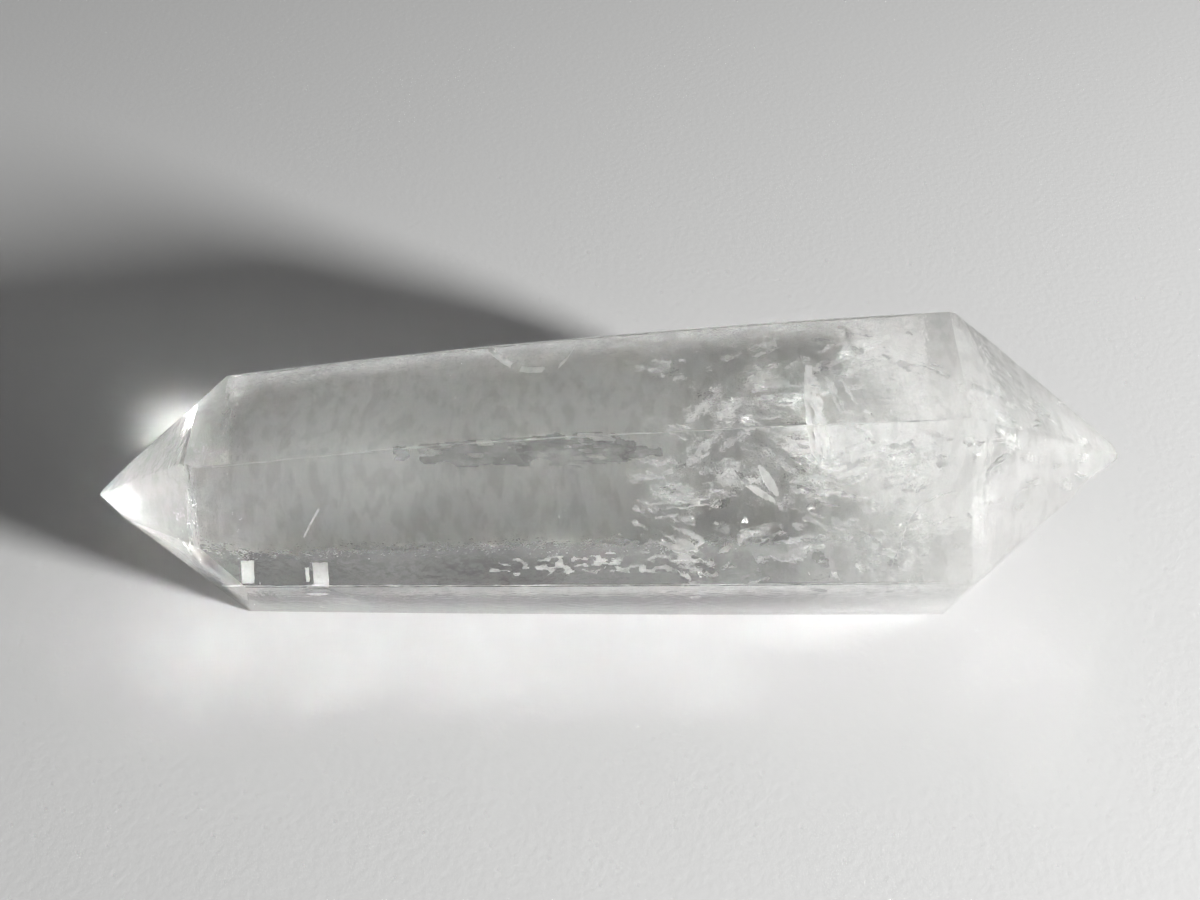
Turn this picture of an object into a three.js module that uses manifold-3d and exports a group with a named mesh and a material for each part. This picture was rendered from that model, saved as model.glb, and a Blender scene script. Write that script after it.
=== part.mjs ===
// Double terminated quartz point: a six-sided prism that flares gently, with a pyramid at each end.
// Millimetres. The crystal lies on one prism face, +X runs to its broad end and +Z is up.

import * as THREE from 'three';
import { mergeVertices } from 'three/addons/utils/BufferGeometryUtils.js';
import Module from 'manifold-3d';

const wasm = await Module();
wasm.setup();

// The prism: centre-to-ridge radius at three places along it
const narrowEnd = { x: -30, radius: 9.84 };
const waist = { x: -1, radius: 11.49 };
const broadEnd = { x: 27.6, radius: 12.47 };
const prismReach = 42;
const prismSteps = 28;

// The six long ridges, by their turn about the length from the rear one at mid height
const rear = 0;
const rearTop = 60;
const frontTop = 119.5;
const front = 180;
const frontFoot = 240;
const rearFoot = 300;
const ridges = [rear, rearTop, frontTop, front, frontFoot, rearFoot];

// The front top ridge sags a little, in degrees, over its last stretch to the narrow shoulder
const frontTopSag = 3;

// Where the pyramid faces would meet; both points are worn blunt, 80 mm apart along the crystal
const narrowTip = new THREE.Vector3(-40.1, -0.98, 9.85);
const broadTip = new THREE.Vector3(40.3, -2.2, 13.9);
const bluntTips = [
  { at: new THREE.Vector3(-39.99, -0.98, 9.85), away: new THREE.Vector3(-1, 0.1, 0.05) },
  { at: new THREE.Vector3(39.95, -2.2, 13.9), away: new THREE.Vector3(1, 0.15, -0.25) },
];

// The places where smaller pyramid faces start, a little way back from each tip
const narrowLowStart = new THREE.Vector3(-37.61, -3.26, 9.38);
const narrowHighStart = new THREE.Vector3(-37.37, 0.6, 12);
const narrowHighTurn = new THREE.Vector3(-34.38, 1.41, 14.41);
const broadHighStart = new THREE.Vector3(34.98, 1.9, 17.04);

// The slanting face that takes the top rear corner off the broad shoulder
const cornerFace = {
  onRidge: new THREE.Vector3(27.4, 6.22, 21.58),
  onTop: new THREE.Vector3(27.05, -1.9, 21.57),
  onPyramid: new THREE.Vector3(29.73, 5, 20.32),
};

// Conchoidal chips: each is a shallow scoop by a ball of the given radius
const chips = [
  { at: new THREE.Vector3(37.6, -3.6, 12), away: new THREE.Vector3(0.55, -0.62, -0.56), depth: 0.7, ball: 7 },
  { at: new THREE.Vector3(-21.6, -10.3, 8.6), away: new THREE.Vector3(0, -1, -0.25), depth: 0.3, ball: 1.8 },
];
const chipDetail = 6;

// Something to cut with that is larger than the crystal
const cutterSize = 160;
const heart = new THREE.Vector3(0, 0, 10);

function radiusAt(x) {
  const a = narrowEnd;
  const b = waist;
  const c = broadEnd;
  const nearA = ((x - b.x) * (x - c.x)) / ((a.x - b.x) * (a.x - c.x));
  const nearB = ((x - a.x) * (x - c.x)) / ((b.x - a.x) * (b.x - c.x));
  const nearC = ((x - a.x) * (x - b.x)) / ((c.x - a.x) * (c.x - b.x));
  return a.radius * nearA + b.radius * nearB + c.radius * nearC;
}

// A point on one long ridge; the lowest prism face stays on z = 0 all along
function onRidge(turn, x) {
  const radius = radiusAt(x);
  const towardNarrow = Math.max(0, (waist.x - x) / (waist.x - narrowEnd.x));
  const sag = turn === frontTop ? frontTopSag * towardNarrow ** 2 : 0;
  const angle = THREE.MathUtils.degToRad(turn + sag);
  const axisHeight = radius * Math.cos(Math.PI / 6);
  return new THREE.Vector3(x, radius * Math.cos(angle), axisHeight + radius * Math.sin(angle));
}

function toSolid(geometry) {
  const plain = geometry.clone();
  plain.deleteAttribute('normal');
  plain.deleteAttribute('uv');
  const merged = mergeVertices(plain, 1e-5);
  return new wasm.Manifold(new wasm.Mesh({
    numProp: 3,
    vertProperties: new Float32Array(merged.getAttribute('position').array),
    triVerts: new Uint32Array(merged.getIndex().array),
  }));
}

function toGeometry(solid) {
  const mesh = solid.getMesh();
  const geometry = new THREE.BufferGeometry();
  geometry.setAttribute('position', new THREE.BufferAttribute(mesh.vertProperties, 3));
  geometry.setIndex(new THREE.BufferAttribute(mesh.triVerts, 1));
  geometry.computeVertexNormals();
  return geometry;
}

// The flared six-sided prism, longer than the crystal at both ends
function flaredPrism() {
  const positions = [];
  const triangles = [];
  const sides = ridges.length;
  for (let step = 0; step <= prismSteps; step += 1) {
    const x = -prismReach + (2 * prismReach * step) / prismSteps;
    for (const turn of ridges) {
      positions.push(...onRidge(turn, x).toArray());
    }
  }
  for (let step = 0; step < prismSteps; step += 1) {
    for (let side = 0; side < sides; side += 1) {
      const a = step * sides + side;
      const b = step * sides + ((side + 1) % sides);
      triangles.push(a, b, a + sides);
      triangles.push(b, b + sides, a + sides);
    }
  }
  const last = prismSteps * sides;
  for (let side = 1; side < sides - 1; side += 1) {
    triangles.push(0, side + 1, side);
    triangles.push(last, last + side, last + side + 1);
  }
  const geometry = new THREE.BufferGeometry();
  geometry.setAttribute('position', new THREE.Float32BufferAttribute(positions, 3));
  geometry.setIndex(triangles);
  return toSolid(geometry);
}

// Cuts everything away that lies beyond a flat face
function cutBeyond(solid, point, outward) {
  const box = new THREE.BoxGeometry(cutterSize, cutterSize, cutterSize);
  box.translate(0, 0, cutterSize / 2);
  const lay = new THREE.Quaternion().setFromUnitVectors(new THREE.Vector3(0, 0, 1), outward);
  box.applyQuaternion(lay);
  box.translate(point.x, point.y, point.z);
  return solid.subtract(toSolid(box));
}

// Cuts a flat face through three points and keeps the side that holds the crystal's heart
function cutFace(solid, p, q, r) {
  const plane = new THREE.Plane().setFromCoplanarPoints(p, q, r);
  if (plane.distanceToPoint(heart) > 0) {
    plane.negate();
  }
  return cutBeyond(solid, p, plane.normal);
}

// The narrow end: two broad faces in view, with smaller faces below and behind
function cutNarrowEnd(solid) {
  const shoulder = {
    topRear: onRidge(rearTop, -31.47),
    topFront: onRidge(frontTop, -31.29),
    upperFront: onRidge(frontTop, -30.33),
    upperMiddle: onRidge(front, -30.46),
    lowerMiddle: onRidge(front, -27.1),
    lowerFoot: onRidge(frontFoot, -29.14),
    rearFoot: onRidge(rearFoot, -29.5),
    rearMiddle: onRidge(rear, -30),
    rearHigh: onRidge(rearTop, -29.6),
  };
  const upperJoin = new THREE.Vector3(-30.43, -8.28, 11.26);
  const faces = [
    [narrowTip, shoulder.topRear, shoulder.topFront],
    [narrowTip, shoulder.upperFront, shoulder.upperMiddle],
    [narrowLowStart, upperJoin, shoulder.lowerMiddle],
    [narrowLowStart, shoulder.lowerMiddle, shoulder.lowerFoot],
    [narrowTip, narrowLowStart, shoulder.lowerFoot],
    [narrowTip, shoulder.lowerFoot, shoulder.rearFoot],
    [narrowTip, shoulder.rearFoot, shoulder.rearMiddle],
    [narrowHighStart, shoulder.rearMiddle, shoulder.rearHigh],
    [narrowHighStart, narrowHighTurn, shoulder.rearHigh],
  ];
  return faces.reduce((rest, face) => cutFace(rest, ...face), solid);
}

// The broad end: six faces and a narrow slanting one on the top rear shoulder
function cutBroadEnd(solid) {
  const shoulder = {
    topRear: onRidge(rearTop, 27.7),
    topFront: onRidge(frontTop, 26.83),
    middle: onRidge(front, 27.35),
    foot: onRidge(frontFoot, 27.9),
    rearFoot: onRidge(rearFoot, 27.6),
    rearMiddle: onRidge(rear, 27.6),
    rearHigh: onRidge(rearTop, 27.9),
  };
  const faces = [
    [broadTip, shoulder.topRear, shoulder.topFront],
    [broadTip, shoulder.topFront, shoulder.middle],
    [broadTip, shoulder.middle, shoulder.foot],
    [broadTip, shoulder.foot, shoulder.rearFoot],
    [broadTip, shoulder.rearFoot, shoulder.rearMiddle],
    [broadHighStart, shoulder.rearMiddle, shoulder.rearHigh],
  ];
  faces.push([cornerFace.onRidge, cornerFace.onTop, cornerFace.onPyramid]);
  return faces.reduce((rest, face) => cutFace(rest, ...face), solid);
}

// Takes one shallow chip out of an edge
function cutChip(solid, chip) {
  const ball = new THREE.IcosahedronGeometry(chip.ball, chipDetail);
  const away = chip.away.clone().normalize();
  const centre = chip.at.clone().addScaledVector(away, chip.ball - chip.depth);
  ball.translate(centre.x, centre.y, centre.z);
  return solid.subtract(toSolid(ball));
}

function bluntTip(solid, tip) {
  return cutBeyond(solid, tip.at, tip.away.clone().normalize());
}

const faceted = cutBroadEnd(cutNarrowEnd(flaredPrism()));
const worn = bluntTips.reduce(bluntTip, faceted);
const crystal = chips.reduce(cutChip, worn);

const clearQuartz = new THREE.MeshStandardMaterial({
  color: 0xdfe3e2,
  roughness: 0.08,
  metalness: 0,
  transparent: true,
  opacity: 0.45,
});

const quartzPoint = new THREE.Mesh(toGeometry(crystal), clearQuartz);
quartzPoint.name = 'quartz_point';

const model = new THREE.Group();
model.add(quartzPoint);

export default model;
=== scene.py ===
import math
import random

import bmesh
import bpy
from mathutils import Euler, Matrix, Vector, noise


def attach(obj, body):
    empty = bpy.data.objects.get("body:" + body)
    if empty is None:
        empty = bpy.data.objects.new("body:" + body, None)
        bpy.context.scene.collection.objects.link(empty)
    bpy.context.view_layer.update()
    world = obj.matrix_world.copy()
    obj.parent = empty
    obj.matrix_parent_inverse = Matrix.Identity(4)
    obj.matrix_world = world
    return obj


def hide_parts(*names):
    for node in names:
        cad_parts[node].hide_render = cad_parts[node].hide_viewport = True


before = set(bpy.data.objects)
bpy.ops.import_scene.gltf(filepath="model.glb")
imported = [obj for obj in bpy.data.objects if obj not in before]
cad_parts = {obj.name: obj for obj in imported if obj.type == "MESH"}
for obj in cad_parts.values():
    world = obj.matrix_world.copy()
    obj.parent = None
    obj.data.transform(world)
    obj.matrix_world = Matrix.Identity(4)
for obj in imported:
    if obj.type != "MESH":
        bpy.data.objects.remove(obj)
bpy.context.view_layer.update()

# Places and lengths are in millimetres up to the calls that make or move a mesh
MM = 0.001

# The prism: centre-to-ridge radius at three places along it
NARROW_END = (-30.0, 9.84)
WAIST = (-1.0, 11.49)
BROAD_END = (27.6, 12.47)
PRISM_REACH = 42.0
PRISM_STEPS = 28
SIDES = 6
CENTRE_TO_FACE = math.cos(math.pi / SIDES)

# The six long ridges, by their turn about the length from the rear one at mid height
REAR = 0.0
REAR_TOP = 60.0
FRONT_TOP = 119.5
FRONT = 180.0
FRONT_FOOT = 240.0
REAR_FOOT = 300.0

# The front top ridge lies a little off an even hexagon's, and sags towards the narrow shoulder
EVEN_FRONT_TOP = 120.0
FRONT_TOP_SAG = 3.0

# Where the pyramid faces would meet, and how both points are worn blunt
NARROW_TIP = Vector((-40.1, -0.98, 9.85))
BROAD_TIP = Vector((40.3, -2.2, 13.9))
BLUNT_TIPS = (
    (Vector((-39.99, -0.98, 9.85)), Vector((-1.0, 0.1, 0.05))),
    (Vector((39.95, -2.2, 13.9)), Vector((1.0, 0.15, -0.25))),
)
HEART = Vector((0.0, 0.0, 10.0))

# Conchoidal chips: place, way out, depth and the radius of the scooping ball
CHIPS = (
    (Vector((37.6, -3.6, 12.0)), Vector((0.55, -0.62, -0.56)), 0.7, 7.0),
    (Vector((-21.6, -10.3, 8.6)), Vector((0.0, -1.0, -0.25)), 0.3, 1.8),
)
CHIP_RIPPLE_SIZE = 0.6
CHIP_RIPPLE_HEIGHT = 0.05

# Wear along the edges, in millimetres, and the angles that count as an edge, in degrees
EDGE_WEAR = 0.13
WORN_ABOVE = 6
SHARP_ABOVE = 30


def radius_at(x):
    """Centre-to-ridge radius of the flared prism at x, in millimetres."""
    (ax, ar), (bx, br), (cx, cr) = NARROW_END, WAIST, BROAD_END
    near_a = (x - bx) * (x - cx) / ((ax - bx) * (ax - cx))
    near_b = (x - ax) * (x - cx) / ((bx - ax) * (bx - cx))
    near_c = (x - ax) * (x - bx) / ((cx - ax) * (cx - bx))
    return ar * near_a + br * near_b + cr * near_c


def on_ridge(turn, x):
    """A point on one long ridge; the lowest prism face stays on z = 0 all along."""
    radius = radius_at(x)
    toward_narrow = max(0.0, (WAIST[0] - x) / (WAIST[0] - NARROW_END[0]))
    sag = FRONT_TOP_SAG * toward_narrow ** 2 if turn == FRONT_TOP else 0.0
    angle = math.radians(turn + sag)
    axis_height = radius * CENTRE_TO_FACE
    return Vector((x, radius * math.cos(angle), axis_height + radius * math.sin(angle)))


def deselect_all():
    if bpy.context.object and bpy.context.object.mode != "OBJECT":
        bpy.ops.object.mode_set(mode="OBJECT")
    bpy.ops.object.select_all(action="DESELECT")


def take_up(piece):
    """Makes one piece the only selected and active one."""
    deselect_all()
    piece.select_set(True)
    bpy.context.view_layer.objects.active = piece


def select_verts(piece, wanted):
    """In edit mode, selects only the vertices that the test wants; places are in metres."""
    bpy.ops.mesh.select_mode(type="VERT")
    bpy.ops.mesh.select_all(action="DESELECT")
    shape = bmesh.from_edit_mesh(piece.data)
    for vert in shape.verts:
        vert.select = wanted(vert.co)
    shape.select_flush_mode()
    bmesh.update_edit_mesh(piece.data)


def select_edges(piece, wanted):
    """In edit mode, selects only the edges that the test wants, given both ends in metres."""
    bpy.ops.mesh.select_mode(type="EDGE")
    bpy.ops.mesh.select_all(action="DESELECT")
    shape = bmesh.from_edit_mesh(piece.data)
    for edge in shape.edges:
        edge.select = wanted(edge.verts[0].co, edge.verts[1].co)
    shape.select_flush_mode()
    bmesh.update_edit_mesh(piece.data)


def settle(piece):
    """Puts the piece's place into its mesh."""
    take_up(piece)
    bpy.ops.object.transform_apply(location=True, rotation=True, scale=True)


def apply_modifier(piece, modifier):
    take_up(piece)
    bpy.ops.object.modifier_apply(modifier=modifier.name)


def ripple_mesh(piece, name, size, height):
    """Moves the mesh's points in and out by a cloudy pattern."""
    pattern = bpy.data.textures.new(name, "CLOUDS")
    pattern.noise_scale = size * MM
    ripple = piece.modifiers.new(name, "DISPLACE")
    ripple.texture = pattern
    ripple.texture_coords = "LOCAL"
    ripple.strength = height * MM
    apply_modifier(piece, ripple)


def flared_prism():
    """A six-sided cylinder cut into short lengths, each ring then brought to its radius."""
    deselect_all()
    waist_radius = WAIST[1]
    bpy.ops.mesh.primitive_cylinder_add(
        vertices=SIDES,
        radius=waist_radius * MM,
        depth=2 * PRISM_REACH * MM,
        end_fill_type="NGON",
        location=(0, 0, waist_radius * CENTRE_TO_FACE * MM),
        rotation=(0, math.pi / 2, 0),
    )
    prism = bpy.context.object
    prism.name = "quartz_crystal"
    settle(prism)
    bpy.ops.object.mode_set(mode="EDIT")
    select_edges(prism, lambda a, b: abs(a.x - b.x) > PRISM_REACH * MM)
    bpy.ops.mesh.subdivide(number_cuts=PRISM_STEPS - 1)
    spacing = 2 * PRISM_REACH / PRISM_STEPS
    for step in range(PRISM_STEPS + 1):
        x = -PRISM_REACH + spacing * step
        scale = radius_at(x) / waist_radius
        select_verts(prism, lambda co: abs(co.x - x * MM) < 0.01 * MM)
        bpy.ops.transform.resize(value=(1, scale, scale), center_override=(x * MM, 0, 0))
        even = on_ridge(EVEN_FRONT_TOP, x)
        select_verts(prism, lambda co: (co - even * MM).length < 0.05 * MM)
        bpy.ops.transform.translate(value=(on_ridge(FRONT_TOP, x) - even) * MM)
    bpy.ops.object.mode_set(mode="OBJECT")
    return prism


def outward_of(p, q, r):
    """The way out of the crystal across a flat face through three points."""
    outward = (q - p).cross(r - p).normalized()
    if outward.dot(HEART - p) > 0:
        outward.negate()
    return outward


def narrow_end_faces():
    """Two broad pyramid faces in view, with smaller faces below and behind."""
    top_rear = on_ridge(REAR_TOP, -31.47)
    top_front = on_ridge(FRONT_TOP, -31.29)
    upper_front = on_ridge(FRONT_TOP, -30.33)
    upper_middle = on_ridge(FRONT, -30.46)
    lower_middle = on_ridge(FRONT, -27.1)
    lower_foot = on_ridge(FRONT_FOOT, -29.14)
    rear_foot = on_ridge(REAR_FOOT, -29.5)
    rear_middle = on_ridge(REAR, -30.0)
    rear_high = on_ridge(REAR_TOP, -29.6)
    upper_join = Vector((-30.43, -8.28, 11.26))
    low_start = Vector((-37.61, -3.26, 9.38))
    high_start = Vector((-37.37, 0.6, 12.0))
    high_turn = Vector((-34.38, 1.41, 14.41))
    return (
        (NARROW_TIP, top_rear, top_front),
        (NARROW_TIP, upper_front, upper_middle),
        (low_start, upper_join, lower_middle),
        (low_start, lower_middle, lower_foot),
        (NARROW_TIP, low_start, lower_foot),
        (NARROW_TIP, lower_foot, rear_foot),
        (NARROW_TIP, rear_foot, rear_middle),
        (high_start, rear_middle, rear_high),
        (high_start, high_turn, rear_high),
    )


def broad_end_faces():
    """Six pyramid faces and a narrow slanting one on the top rear shoulder."""
    top_rear = on_ridge(REAR_TOP, 27.7)
    top_front = on_ridge(FRONT_TOP, 26.83)
    middle = on_ridge(FRONT, 27.35)
    foot = on_ridge(FRONT_FOOT, 27.9)
    rear_foot = on_ridge(REAR_FOOT, 27.6)
    rear_middle = on_ridge(REAR, 27.6)
    rear_high = on_ridge(REAR_TOP, 27.9)
    high_start = Vector((34.98, 1.9, 17.04))
    corner_on_ridge = Vector((27.4, 6.22, 21.58))
    corner_on_top = Vector((27.05, -1.9, 21.57))
    corner_on_pyramid = Vector((29.73, 5.0, 20.32))
    return (
        (BROAD_TIP, top_rear, top_front),
        (BROAD_TIP, top_front, middle),
        (BROAD_TIP, middle, foot),
        (BROAD_TIP, foot, rear_foot),
        (BROAD_TIP, rear_foot, rear_middle),
        (high_start, rear_middle, rear_high),
        (corner_on_ridge, corner_on_top, corner_on_pyramid),
    )


END_FACES = [(face[0], outward_of(*face)) for face in narrow_end_faces() + broad_end_faces()]


def deep_inside(place, margin):
    """True where a place is at least that far below every face."""
    reach = radius_at(place.x) * CENTRE_TO_FACE
    for side in range(SIDES):
        turn = math.radians(30 + 60 * side)
        if place.y * math.cos(turn) + (place.z - reach) * math.sin(turn) > reach - margin:
            return False
    return all((place - point).dot(outward) < -margin for point, outward in END_FACES)


def cut_beyond(crystal, point, outward):
    """Bisects everything away that lies beyond a flat face, and closes the cut."""
    take_up(crystal)
    bpy.ops.object.mode_set(mode="EDIT")
    bpy.ops.mesh.select_all(action="SELECT")
    bpy.ops.mesh.bisect(
        plane_co=point * MM,
        plane_no=outward.normalized(),
        use_fill=True,
        clear_outer=True,
        threshold=1e-7,
    )
    bpy.ops.object.mode_set(mode="OBJECT")


def cut_chip(crystal, place, away, depth, ball):
    """Scoops one shallow chip out of an edge with a slightly rippled ball."""
    deselect_all()
    middle = place + away.normalized() * (ball - depth)
    bpy.ops.mesh.primitive_ico_sphere_add(subdivisions=5, radius=ball * MM, location=middle * MM)
    scoop = bpy.context.object
    settle(scoop)
    ripple_mesh(scoop, "chip_ripple", CHIP_RIPPLE_SIZE, CHIP_RIPPLE_HEIGHT)
    cut = crystal.modifiers.new("chip", "BOOLEAN")
    cut.operation = "DIFFERENCE"
    cut.object = scoop
    cut.solver = "EXACT"
    apply_modifier(crystal, cut)
    bpy.data.objects.remove(scoop)


def soften_edges(crystal):
    """A hair's breadth of wear along every ridge and shoulder."""
    worn = crystal.modifiers.new("worn", "BEVEL")
    worn.width = EDGE_WEAR * MM
    worn.segments = 2
    worn.limit_method = "ANGLE"
    worn.angle_limit = math.radians(WORN_ABOVE)
    apply_modifier(crystal, worn)
    bpy.ops.object.shade_smooth_by_angle(angle=math.radians(SHARP_ABOVE))


def new_material(name):
    """A new material, its node tree and its surface."""
    material = bpy.data.materials.new(name)
    material.use_nodes = True
    tree = material.node_tree
    return material, tree, tree.nodes["Principled BSDF"]


def noise_pattern(tree, scale, detail, stretch=(1, 1, 1)):
    """A noise pattern on the piece's own coordinates, which are scaled along each axis as given."""
    where = tree.nodes.new("ShaderNodeTexCoord")
    spread = tree.nodes.new("ShaderNodeMapping")
    spread.inputs["Scale"].default_value = stretch
    tree.links.new(where.outputs["Object"], spread.inputs["Vector"])
    pattern = tree.nodes.new("ShaderNodeTexNoise")
    pattern.inputs["Scale"].default_value = scale
    pattern.inputs["Detail"].default_value = detail
    tree.links.new(spread.outputs["Vector"], pattern.inputs["Vector"])
    return pattern.outputs["Fac"]


def remap(tree, source, given, wanted, smooth=False):
    """A value between two given limits, brought to the two wanted ones."""
    ramp = tree.nodes.new("ShaderNodeMapRange")
    ramp.interpolation_type = "SMOOTHSTEP" if smooth else "LINEAR"
    ramp.inputs["From Min"].default_value = given[0]
    ramp.inputs["From Max"].default_value = given[1]
    ramp.inputs["To Min"].default_value = wanted[0]
    ramp.inputs["To Max"].default_value = wanted[1]
    tree.links.new(source, ramp.inputs["Value"])
    return ramp.outputs["Result"]


def add_bump(tree, height, distance, strength, under=None):
    bump = tree.nodes.new("ShaderNodeBump")
    bump.inputs["Distance"].default_value = distance * MM
    bump.inputs["Strength"].default_value = strength
    tree.links.new(height, bump.inputs["Height"])
    if under:
        tree.links.new(under, bump.inputs["Normal"])
    return bump.outputs["Normal"]


def combine(tree, operation, first, second, third=None):
    """One sum on two or three values, each a socket or a number."""
    total = tree.nodes.new("ShaderNodeMath")
    total.operation = operation
    for socket, value in zip(total.inputs, (first, second, third)):
        if isinstance(value, bpy.types.NodeSocket):
            tree.links.new(value, socket)
        elif value is not None:
            socket.default_value = value
    return total.outputs["Value"]


# The milk that gathers towards the broad end: where it starts and is full, how far its front
# leans with height and wanders, and how strongly it scatters, per metre
QUARTZ_IOR = 1.544
MILK_STARTS = 9.0
MILK_FULL = 50.0
MILK_LEAN = -0.4
MILK_WANDER = 24.0
THICKEST_MILK = 120.0

# The thin haze of the clear part: its scattering per metre between and in the patches, the
# heights over which it sets in, the stretch over which it fades, and what is left of it there
THIN_HAZE = (13.0, 68.0)
HAZE_SETS_IN = (6.5 * MM, 11.5 * MM)
HAZE_FADES = (3.0 * MM, 11.0 * MM)
HAZE_LEFT_BELOW = 0.02
HAZE_LEFT_BEYOND = 0.22


def milk_thickness(tree):
    """A patchy haze above and behind, and milk that gathers towards the broad end."""
    where = tree.nodes.new("ShaderNodeTexCoord")
    apart = tree.nodes.new("ShaderNodeSeparateXYZ")
    tree.links.new(where.outputs["Object"], apart.inputs["Vector"])
    along = apart.outputs["X"]
    height = apart.outputs["Z"]
    lumps = noise_pattern(tree, 150, 2, (0.6, 1, 1))
    leaning = combine(tree, "MULTIPLY_ADD", height, MILK_LEAN, along)
    front = combine(tree, "MULTIPLY_ADD", lumps, MILK_WANDER * MM, leaning)
    gathered = remap(tree, front, (MILK_STARTS * MM, MILK_FULL * MM), (0, 1), True)
    milk = combine(tree, "MULTIPLY", gathered, gathered)
    patches = noise_pattern(tree, 110, 2, (0.4, 1, 1))
    haze = remap(tree, patches, (0.42, 0.66), THIN_HAZE)
    above = remap(tree, height, HAZE_SETS_IN, (HAZE_LEFT_BELOW, 1), True)
    before = remap(tree, along, HAZE_FADES, (1, HAZE_LEFT_BEYOND), True)
    haze = combine(tree, "MULTIPLY", haze, above)
    haze = combine(tree, "MULTIPLY", haze, before)
    return combine(tree, "MULTIPLY_ADD", milk, THICKEST_MILK, haze)


def clear_quartz():
    """Clear glassy quartz with an etched, handled and finely lined skin, and milk inside."""
    material, tree, body = new_material("clear_quartz")
    body.inputs["Transmission Weight"].default_value = 1
    body.inputs["IOR"].default_value = QUARTZ_IOR
    etching = noise_pattern(tree, 800, 3, (1.4, 0.7, 0.7))
    bloom = tree.nodes.new("ShaderNodeMix")
    bloom.data_type = "RGBA"
    bloom.inputs["A"].default_value = (0.86, 0.86, 0.835, 1)
    bloom.inputs["B"].default_value = (1.0, 1.0, 0.975, 1)
    tree.links.new(remap(tree, etching, (0.4, 0.52), (0, 1)), bloom.inputs["Factor"])
    tree.links.new(bloom.outputs["Result"], body.inputs["Base Color"])
    handled = noise_pattern(tree, 260, 2)
    tree.links.new(remap(tree, handled, (0.35, 0.75), (0.015, 0.07)), body.inputs["Roughness"])
    growth_lines = noise_pattern(tree, 500, 3, (2.2, 0.12, 0.12))
    dimples = noise_pattern(tree, 1500, 3)
    lined = add_bump(tree, growth_lines, 0.06, 0.9)
    tree.links.new(add_bump(tree, dimples, 0.06, 1.0, lined), body.inputs["Normal"])
    milk = tree.nodes.new("ShaderNodeVolumeScatter")
    milk.inputs["Color"].default_value = (0.998, 0.998, 0.988, 1)
    milk.inputs["Anisotropy"].default_value = 0.2
    tree.links.new(milk_thickness(tree), milk.inputs["Density"])
    tree.links.new(milk.outputs["Volume"], tree.nodes["Material Output"].inputs["Volume"])
    return material


def bright_fracture_and_reflection():
    """A healed break that throws the light back: pale, satin and mottled; the same white is also the
    painted reflection on the plates along the front ridge.
    """
    material, tree, film = new_material("bright_fracture_and_reflection")
    film.inputs["Base Color"].default_value = (0.985, 0.985, 0.98, 1)
    film.inputs["IOR"].default_value = 1.3
    mottled = noise_pattern(tree, 900, 3)
    tree.links.new(remap(tree, mottled, (0.35, 0.65), (0.25, 0.55)), film.inputs["Roughness"])
    tree.links.new(remap(tree, mottled, (0.3, 0.45), (0.7, 1.0)), film.inputs["Alpha"])
    return material


def wispy_veil():
    """A faint veil of tiny bubbles."""
    material, tree, film = new_material("wispy_veil")
    film.inputs["Base Color"].default_value = (0.97, 0.97, 0.965, 1)
    film.inputs["IOR"].default_value = 1.25
    film.inputs["Roughness"].default_value = 0.5
    wisps = noise_pattern(tree, 700, 4, (0.45, 1, 1))
    tree.links.new(remap(tree, wisps, (0.42, 0.62), (0.05, 0.85)), film.inputs["Alpha"])
    return material


def painted_dark_reflection():
    """A dark, streaky see-through film of painted shade: it stands in for the dark reflections of
    shadow that breaks show through the clear quartz.
    """
    material, tree, film = new_material("painted_dark_reflection")
    # The dark grey is painted shade, not the colour of a break
    film.inputs["Base Color"].default_value = (0.25, 0.25, 0.245, 1)
    film.inputs["Roughness"].default_value = 0.3
    streaks = noise_pattern(tree, 600, 4, (0.5, 1, 1))
    tree.links.new(remap(tree, streaks, (0.36, 0.68), (0.08, 0.45)), film.inputs["Alpha"])
    return material


def crystal_body():
    crystal = flared_prism()
    for point, outward in END_FACES:
        cut_beyond(crystal, point, outward)
    for at, away in BLUNT_TIPS:
        cut_beyond(crystal, at, away)
    for place, away, depth, ball in CHIPS:
        cut_chip(crystal, place, away, depth, ball)
    soften_edges(crystal)
    crystal.data.materials.append(clear_quartz())
    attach(crystal, "root")
    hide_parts("quartz_point")


def finish_inner(piece, name, material):
    piece.name = name
    piece.data.materials.clear()
    piece.data.materials.append(material)
    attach(piece, "root")


def join(sheets):
    deselect_all()
    for sheet in sheets:
        sheet.select_set(True)
    bpy.context.view_layer.objects.active = sheets[0]
    if len(sheets) > 1:
        bpy.ops.object.join()
    return bpy.context.object


# The thin sheets of the fractures, and how far below the faces they stay
SHEET_THICKNESS = 0.02
SHEET_DEPTH = 0.12
SHEET_RIPPLE_SIZE = 2.2

# How quickly a sheet's torn edge wanders and how closely its gaps stand, per millimetre
TEAR_PITCH = 0.9
GAP_PITCH = 3.0
GAP_SEED_STEP = 9.7


def thicken(sheet):
    wall = sheet.modifiers.new("wall", "SOLIDIFY")
    wall.thickness = SHEET_THICKNESS * MM
    wall.offset = 0
    apply_modifier(sheet, wall)
    bpy.ops.object.shade_smooth()


def tear_away(sheet, gone):
    """Deletes the faces that the test wants gone, and evens out what is left."""
    bpy.ops.object.mode_set(mode="EDIT")
    bpy.ops.mesh.select_mode(type="FACE")
    bpy.ops.mesh.select_all(action="DESELECT")
    shape = bmesh.from_edit_mesh(sheet.data)
    for face in shape.faces:
        face.select = gone(face.calc_center_median() / MM)
    bmesh.update_edit_mesh(sheet.data)
    bpy.ops.mesh.delete(type="FACE")
    bpy.ops.mesh.select_all(action="SELECT")
    bpy.ops.mesh.vertices_smooth(factor=0.5, repeat=2)
    bpy.ops.object.mode_set(mode="OBJECT")


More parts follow.
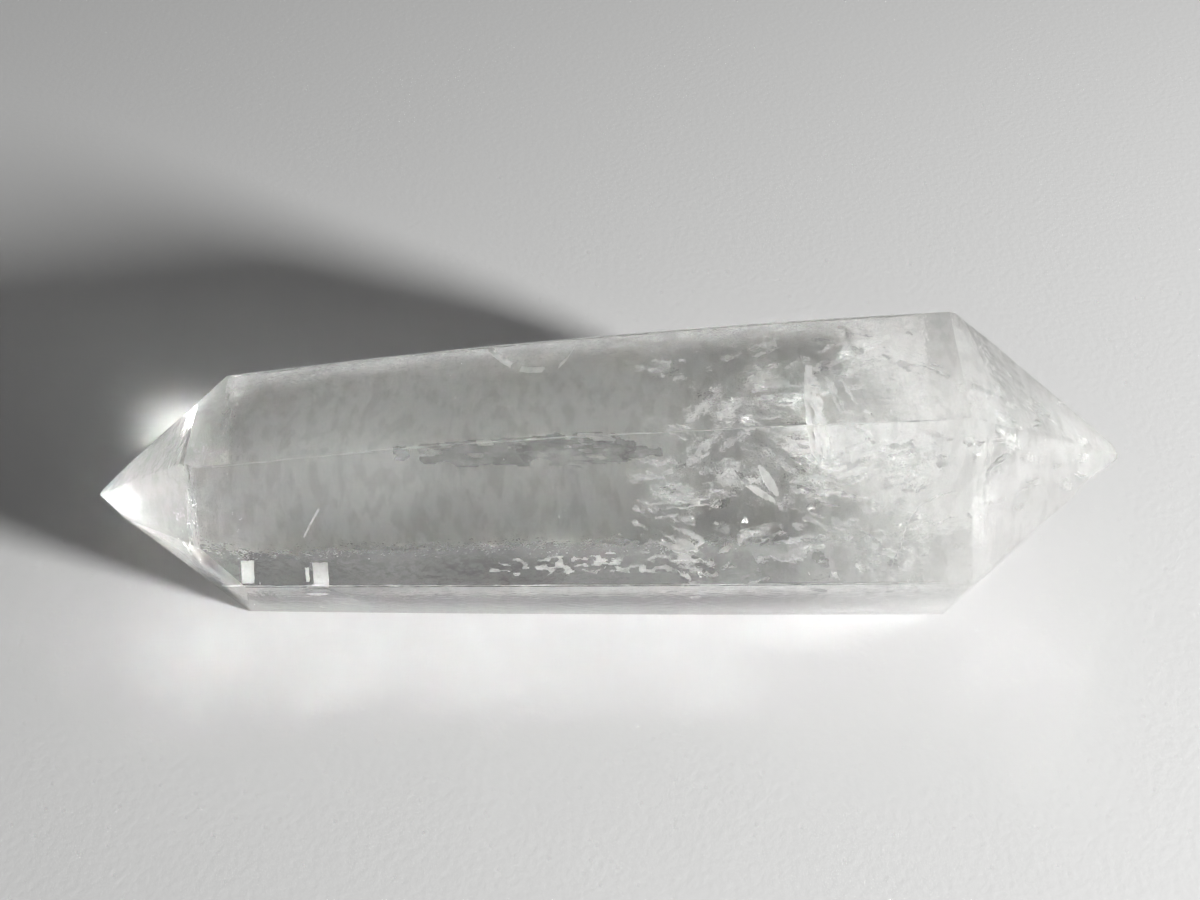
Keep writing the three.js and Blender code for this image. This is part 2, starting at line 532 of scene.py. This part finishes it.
def torn_sheet(middle, along, across, length, width, seed,
               ragged=0.5, gaps=-1.0, fibre=2.5, cell=0.13, wave=0.5):
    """A thin sheet below the faces: a grid laid at its place, rippled by wave either way, then
    torn to a ragged oval with gaps as long as a fibre."""
    along = along.normalized()
    upright = along.cross(across).normalized()
    across = upright.cross(along)
    deselect_all()
    bpy.ops.mesh.primitive_grid_add(
        x_subdivisions=max(3, round(length / cell)),
        y_subdivisions=max(3, round(width / cell)),
        size=MM,
        location=middle * MM,
        rotation=Matrix((along, across, upright)).transposed().to_euler(),
    )
    sheet = bpy.context.object
    sheet.scale = (length, width, 1)
    settle(sheet)
    ripple_mesh(sheet, "veil_ripple", SHEET_RIPPLE_SIZE, 2 * wave)

    def gone(place):
        off = place - middle
        u = off.dot(along)
        v = off.dot(across)
        edge = (2 * u / length) ** 2 + (2 * v / width) ** 2
        tear = noise.noise(Vector((u * TEAR_PITCH, v * TEAR_PITCH, seed)))
        fibres = noise.noise(Vector((u / fibre, v * GAP_PITCH, seed + GAP_SEED_STEP)))
        torn = edge + ragged * tear > 1 or fibres < gaps
        return torn or not deep_inside(place, SHEET_DEPTH)

    tear_away(sheet, gone)
    thicken(sheet)
    return sheet


def ribbon(points, depth):
    """A narrow fissure along a line of places, each edge extruded on to the next."""
    deselect_all()
    bpy.ops.mesh.primitive_plane_add(size=MM, location=points[0] * MM)
    sheet = bpy.context.object
    settle(sheet)
    bpy.ops.object.mode_set(mode="EDIT")
    corners = (points[0], points[1], points[0] + depth, points[1] + depth)
    starts = [vert.co.copy() for vert in bmesh.from_edit_mesh(sheet.data).verts]
    for start, corner in zip(starts, corners):
        select_verts(sheet, lambda co: (co - start).length < 0.001 * MM)
        bpy.ops.transform.translate(value=corner * MM - start)
    for here, there in zip(points[1:], points[2:]):
        select_edges(sheet, lambda a, b: (a + b - (2 * here + depth) * MM).length < 0.02 * MM)
        bpy.ops.mesh.extrude_region_move(TRANSFORM_OT_translate={"value": (there - here) * MM})
    bpy.ops.mesh.select_all(action="SELECT")
    bpy.ops.mesh.subdivide(number_cuts=3)
    bpy.ops.transform.vertex_random(offset=0.06 * MM, seed=4)
    bpy.ops.object.mode_set(mode="OBJECT")
    thicken(sheet)
    return sheet


# The tall feather break across the crystal, under the top face
FEATHER_MIDDLE = Vector((15.9, -2.7, 18.9))
FEATHER_ALONG = Vector((-0.03, -1.0, -0.16))
FEATHER_DOWN = Vector((0.55, 0.3, -0.8))

# The second sheet and the two slivers beside it stand this far from its middle
FEATHER_SECOND = FEATHER_MIDDLE + Vector((0.35, -1.2, -0.5))
SLIVER_MIDDLE = FEATHER_MIDDLE + Vector((1.9, 1.2, -0.3))
SLIVER_ALONG = Vector((0.25, -1, -0.1))
FAR_SLIVER_MIDDLE = FEATHER_MIDDLE + Vector((2.8, 2.0, -0.4))
FAR_SLIVER_ALONG = Vector((0.4, -1, -0.1))


def feather_fracture(finish):
    sheets = [
        torn_sheet(FEATHER_MIDDLE, FEATHER_ALONG, FEATHER_DOWN, 8.6, 2.9, 3.1, 0.5, wave=0.15),
        torn_sheet(FEATHER_SECOND, FEATHER_ALONG, FEATHER_DOWN, 5.0, 2.6, 8.3, 0.8),
        torn_sheet(SLIVER_MIDDLE, SLIVER_ALONG, FEATHER_DOWN, 4.2, 1.6, 5.2, 0.9, -0.15),
        torn_sheet(FAR_SLIVER_MIDDLE, FAR_SLIVER_ALONG, FEATHER_DOWN, 3.2, 1.2, 6.4, 0.9, -0.15),
    ]
    finish_inner(join(sheets), "feather_fracture", finish)


def leaf_flakes(finish):
    """Two bright leaves that meet at their lower ends."""
    across = Vector((0, 0.65, 0.75))
    leaves = [
        torn_sheet(Vector((12.4, -6.4, 16.1)), Vector((1.5, -1.3, -1.9)), across,
                   2.9, 0.75, 2.2, 0.3, wave=0.1, cell=0.09),
        torn_sheet(Vector((11.9, -7.0, 15.3)), Vector((2.2, -0.8, -1.1)), across,
                   2.7, 0.6, 7.7, 0.3, wave=0.1, cell=0.09),
    ]
    finish_inner(join(leaves), "leaf_flakes", finish)


def curved_crack(finish):
    line = [
        Vector((26.0, -8.4, 16.6)),
        Vector((24.6, -8.6, 16.2)),
        Vector((23.4, -8.9, 15.7)),
        Vector((22.5, -9.5, 14.5)),
        Vector((22.0, -10.5, 12.8)),
        Vector((21.3, -11.2, 11.4)),
    ]
    finish_inner(ribbon(line, Vector((0.5, 2.6, -2.2))), "curved_crack", finish)


def edge_bruise(finish):
    """The broken white arc of a knock, just under the top face."""
    left = [
        Vector((-8.8, 5.3, 18.9)),
        Vector((-8.3, 4.5, 18.9)),
        Vector((-7.7, 3.7, 19.0)),
        Vector((-6.9, 2.9, 19.0)),
    ]
    low = [
        Vector((-6.2, 2.4, 19.1)),
        Vector((-5.4, 2.2, 19.1)),
        Vector((-4.4, 2.1, 19.2)),
    ]
    right = [
        Vector((-3.2, 2.4, 19.3)),
        Vector((-2.6, 3.2, 19.3)),
        Vector((-2.1, 4.3, 19.4)),
    ]
    down = Vector((0.2, 0.75, -0.25))
    finish_inner(join([ribbon(arc, down) for arc in (left, low, right)]), "edge_bruise", finish)


def band_reflection_plates(finish):
    """Small white plates standing along the front ridge near the narrow end: painted reflections of
    the end faces, seen in the band.
    """
    along = Vector((1, 0, 0))
    down_face = Vector((0, 0.5, -0.866))
    bars = [
        ribbon([Vector((-27.5, -9.4, 8.6)), Vector((-27.4, -8.5, 10.2))], 1.0 * along),
        ribbon([Vector((-21.9, -10.0, 8.8)), Vector((-21.9, -9.0, 10.4))], 1.2 * along),
        ribbon([Vector((-22.5, -9.7, 9.0)), Vector((-22.5, -9.1, 10.0))], 0.3 * along),
        torn_sheet(Vector((-22.2, -8.7, 6.6)), along, down_face, 2.0, 1.0, 2.5, 0.6),
    ]
    finish_inner(join(bars), "band_reflection_plates", finish)


def band_flecks(finish):
    """A run of broken flecks along the front ridge, from the middle to the broken stretch."""
    along = Vector((1, 0, 0))
    up_face = Vector((0.0, 0.5, 0.866))
    flecks = [
        torn_sheet(Vector((-3.5, -9.7, 10.6)), along, up_face,
                   10.0, 1.6, 7.5, 0.9, 0.1, 0.7, cell=0.1),
        torn_sheet(Vector((3.5, -9.5, 10.8)), along, up_face,
                   9.0, 1.8, 3.5, 0.9, 0.08, 0.8, cell=0.1),
    ]
    finish_inner(join(flecks), "band_flecks", finish)


def scratch(finish):
    line = [Vector((-22.5, -8.1, 12.2)), Vector((-21.9, -7.7, 13.2)), Vector((-21.2, -7.2, 14.3))]
    finish_inner(ribbon(line, Vector((0.1, 0.3, -0.3))), "scratch", finish)


# The flecks: how many, their least and greatest size, the stretch they lie on, counted back
# from the broad end and crowded towards it, and the least and greatest depth below a face
SPECK_COUNT = 90
SPECK_LEAST = 0.05
SPECK_MOST = 0.16
SPECK_START = 30.0
SPECK_STRETCH = 62.0
SPECK_CROWDING = 1.4
SPECK_SHALLOWEST = 0.25
SPECK_DEEPEST = 2.5


def specks(finish):
    """Tiny angular flecks strewn just below the faces, more of them towards the broad end."""
    chance = random.Random(3)
    flecks = []
    while len(flecks) < SPECK_COUNT:
        x = SPECK_START - SPECK_STRETCH * chance.random() ** SPECK_CROWDING
        middle = Vector((x, chance.uniform(-12, 12), chance.uniform(1, 22)))
        if not deep_inside(middle, SPECK_SHALLOWEST) or deep_inside(middle, SPECK_DEEPEST):
            continue
        deselect_all()
        bpy.ops.mesh.primitive_ico_sphere_add(
            subdivisions=1,
            radius=chance.uniform(SPECK_LEAST, SPECK_MOST) * MM,
            location=middle * MM,
            rotation=(chance.uniform(0, 3), chance.uniform(0, 3), chance.uniform(0, 3)),
        )
        fleck = bpy.context.object
        fleck.scale = (1.0, chance.uniform(0.4, 1.0), 0.25)
        settle(fleck)
        flecks.append(fleck)
    finish_inner(join(flecks), "specks", finish)


def ridge_shade(finish):
    """Painted shade under the front top ridge, standing in for the dark reflection there: two
    sheets, one over the other.
    """
    under_ridge = Vector((1.0, -0.045, 0.04))
    down_face = Vector((0.0, -0.45, -0.87))
    # Both sheets carry the dark painted shade
    sheets = [
        torn_sheet(Vector((-5.4, -5.7, 18.4)), under_ridge, down_face,
                   20.0, 2.2, 4.4, 0.6, -0.3, 2.0, wave=0.06),
        torn_sheet(Vector((-1.8, -5.6, 18.4)), under_ridge, down_face,
                   9.0, 2.6, 6.1, 0.7, -0.25, 1.5, wave=0.06),
    ]
    finish_inner(join(sheets), "ridge_shade", finish)


# The wear under the long ridges: how far below them it starts, and how deep it goes
WEAR_BELOW = 0.14
WEAR_DEPTH = 0.1


def ridge_wear(finish):
    """Fine broken white lines just under the long ridges, where they have been knocked."""
    lines = []
    for turn in (REAR_TOP, FRONT_TOP, FRONT):
        inward = (HEART - on_ridge(turn, 0)).normalized()
        line = [on_ridge(turn, x) + WEAR_BELOW * inward for x in range(-29, 26, 3)]
        lines.append(ribbon(line, WEAR_DEPTH * inward))
    finish_inner(join(lines), "ridge_wear", finish)


# The broken stretch and the frosted point, and how many sheets of each kind they hold
BREAK_ZONE = (Vector((4.0, -9.5, 6.0)), Vector((26.0, 6.0, 20.0)))
TIP_ZONE = (Vector((27.5, -7.5, 7.0)), Vector((38.5, 4.0, 20.0)))
VEIL_COUNT = 50
WISP_COUNT = 190
SHADE_COUNT = 34
TIP_COUNT = 40
ZONE_DEPTH = 0.6
ZONE_RAGGED = 0.9


def zone_sheets(zone, count, seed, longest, gaps):
    """Sheets strewn through a zone, turned every way but mostly along the crystal."""
    chance = random.Random(seed)
    sheets = []
    while len(sheets) < count:
        middle = Vector([chance.uniform(low, high) for low, high in zip(*zone)])
        if not deep_inside(middle, ZONE_DEPTH):
            continue
        along = Vector((1.0, chance.uniform(-0.7, 0.7), chance.uniform(-0.6, 0.6)))
        sideways = chance.uniform(-0.4, 0.4)
        across = Vector((sideways, chance.uniform(0.2, 1.0), chance.uniform(-0.3, 1.0)))
        length = chance.uniform(0.4, 1.0) * longest
        width = length * chance.uniform(0.3, 0.6)
        tear_seed = chance.uniform(0, 50)
        sheets.append(torn_sheet(middle, along, across, length, width, tear_seed, ZONE_RAGGED, gaps))
    return join(sheets)


def inner_pieces():
    bright = bright_fracture_and_reflection()
    veil = wispy_veil()
    painted_dark = painted_dark_reflection()
    feather_fracture(bright)
    leaf_flakes(bright)
    curved_crack(veil)
    edge_bruise(bright)
    # White plates of painted reflection along the front ridge
    band_reflection_plates(bright)
    band_flecks(veil)
    scratch(bright)
    specks(bright)
    ridge_shade(painted_dark)
    ridge_wear(bright)
    finish_inner(zone_sheets(BREAK_ZONE, VEIL_COUNT, 11, 7.0, 0.04), "zone_veils", veil)
    finish_inner(zone_sheets(BREAK_ZONE, WISP_COUNT, 23, 1.4, -0.1), "zone_wisps", bright)
    # Dark sheets of painted shade through the broken stretch, standing in for the dark reflections
    # in its breaks
    finish_inner(zone_sheets(BREAK_ZONE, SHADE_COUNT, 8, 2.6, 0.0), "zone_dark_reflections", painted_dark)
    finish_inner(zone_sheets(TIP_ZONE, TIP_COUNT, 31, 2.2, -0.1), "tip_frost", bright)


# The photograph's camera, looking down at the crystal from its front; lens and sensor in
# millimetres, angles in degrees, and the nearest distance it draws in metres
CAMERA_ELEVATION = 43.43
CAMERA_ROLL = -0.73
CAMERA_TARGET = Vector((-0.04, 5.41, 8.0))
CAMERA_DISTANCE = 125.28
CAMERA_LENS = 44.8
CAMERA_SENSOR = 36
CAMERA_NEAREST = 0.01


def place_camera():
    data = bpy.data.cameras.new("camera")
    data.lens = CAMERA_LENS
    data.sensor_width = CAMERA_SENSOR
    data.clip_start = CAMERA_NEAREST
    camera = bpy.data.objects.new("camera", data)
    bpy.context.scene.collection.objects.link(camera)
    tilt = Euler((math.radians(90 - CAMERA_ELEVATION), 0, 0)).to_matrix()
    roll = Euler((0, 0, math.radians(CAMERA_ROLL))).to_matrix()
    turned = (tilt @ roll).to_4x4()
    turned.translation = (CAMERA_TARGET + tilt @ Vector((0, 0, CAMERA_DISTANCE))) * MM
    camera.matrix_world = turned
    bpy.context.scene.camera = camera


# A low soft lamp from the front right, with distance and width in metres and power in watts
LAMP_DIRECTION = Vector((0.825, -0.495, 0.262))
LAMP_DISTANCE = 0.5
LAMP_WIDTH = 0.075
LAMP_POWER = 7.7

# A dim room that is dimmer high up behind: the dark patch fades out between two cosines of
# the angle from its middle
ROOM_LIGHT = 0.19
BACK_WALL = Vector((0.05, 0.75, 0.66))
BACK_LIGHT = 0.03
BACK_EDGE = (0.6, 0.9)


def place_lamp():
    data = bpy.data.lights.new("window", "AREA")
    data.shape = "DISK"
    data.size = LAMP_WIDTH
    data.energy = LAMP_POWER
    lamp = bpy.data.objects.new("window", data)
    bpy.context.scene.collection.objects.link(lamp)
    lamp.location = LAMP_DIRECTION.normalized() * LAMP_DISTANCE
    lamp.rotation_mode = "QUATERNION"
    lamp.rotation_quaternion = LAMP_DIRECTION.to_track_quat("Z", "Y")


def light_room():
    world = bpy.data.worlds.new("room")
    world.use_nodes = True
    tree = world.node_tree
    light = tree.nodes["Background"]
    light.inputs["Color"].default_value = (1, 1, 1, 1)
    where = tree.nodes.new("ShaderNodeTexCoord")
    toward_back = tree.nodes.new("ShaderNodeVectorMath")
    toward_back.operation = "DOT_PRODUCT"
    toward_back.inputs[1].default_value = BACK_WALL.normalized()
    tree.links.new(where.outputs["Generated"], toward_back.inputs[0])
    nearness = toward_back.outputs["Value"]
    strength = remap(tree, nearness, BACK_EDGE, (ROOM_LIGHT, BACK_LIGHT), True)
    tree.links.new(strength, light.inputs["Strength"])
    bpy.context.scene.world = world


def let_light_through():
    """Enough bounces for light to cross the crystal and its milk many times, with no clamp."""
    paths = bpy.context.scene.cycles
    paths.sample_clamp_indirect = 0
    paths.blur_glossy = 0.08
    paths.max_bounces = 12
    paths.transmission_bounces = 10
    paths.volume_bounces = 5
    paths.transparent_max_bounces = 24
    paths.volume_step_rate = 3.0
    bpy.context.scene.view_settings.view_transform = "Standard"


# The pale board that the crystal lies on: its size in metres and its gap below the crystal
FLOOR_SIZE = 2.4
FLOOR_GAP = 0.02


def place_floor():
    deselect_all()
    bpy.ops.mesh.primitive_plane_add(size=FLOOR_SIZE, location=(0, 0, -FLOOR_GAP * MM))
    floor = bpy.context.object
    floor.name = "floor"
    settle(floor)
    material, tree, board = new_material("pale_board")
    board.inputs["Base Color"].default_value = (0.62, 0.62, 0.615, 1)
    board.inputs["Roughness"].default_value = 0.7
    grain = noise_pattern(tree, 1500, 3)
    tree.links.new(add_bump(tree, grain, 0.04, 0.35), board.inputs["Normal"])
    floor.data.materials.append(material)


crystal_body()
inner_pieces()
place_floor()
place_lamp()
light_room()
place_camera()
let_light_through()
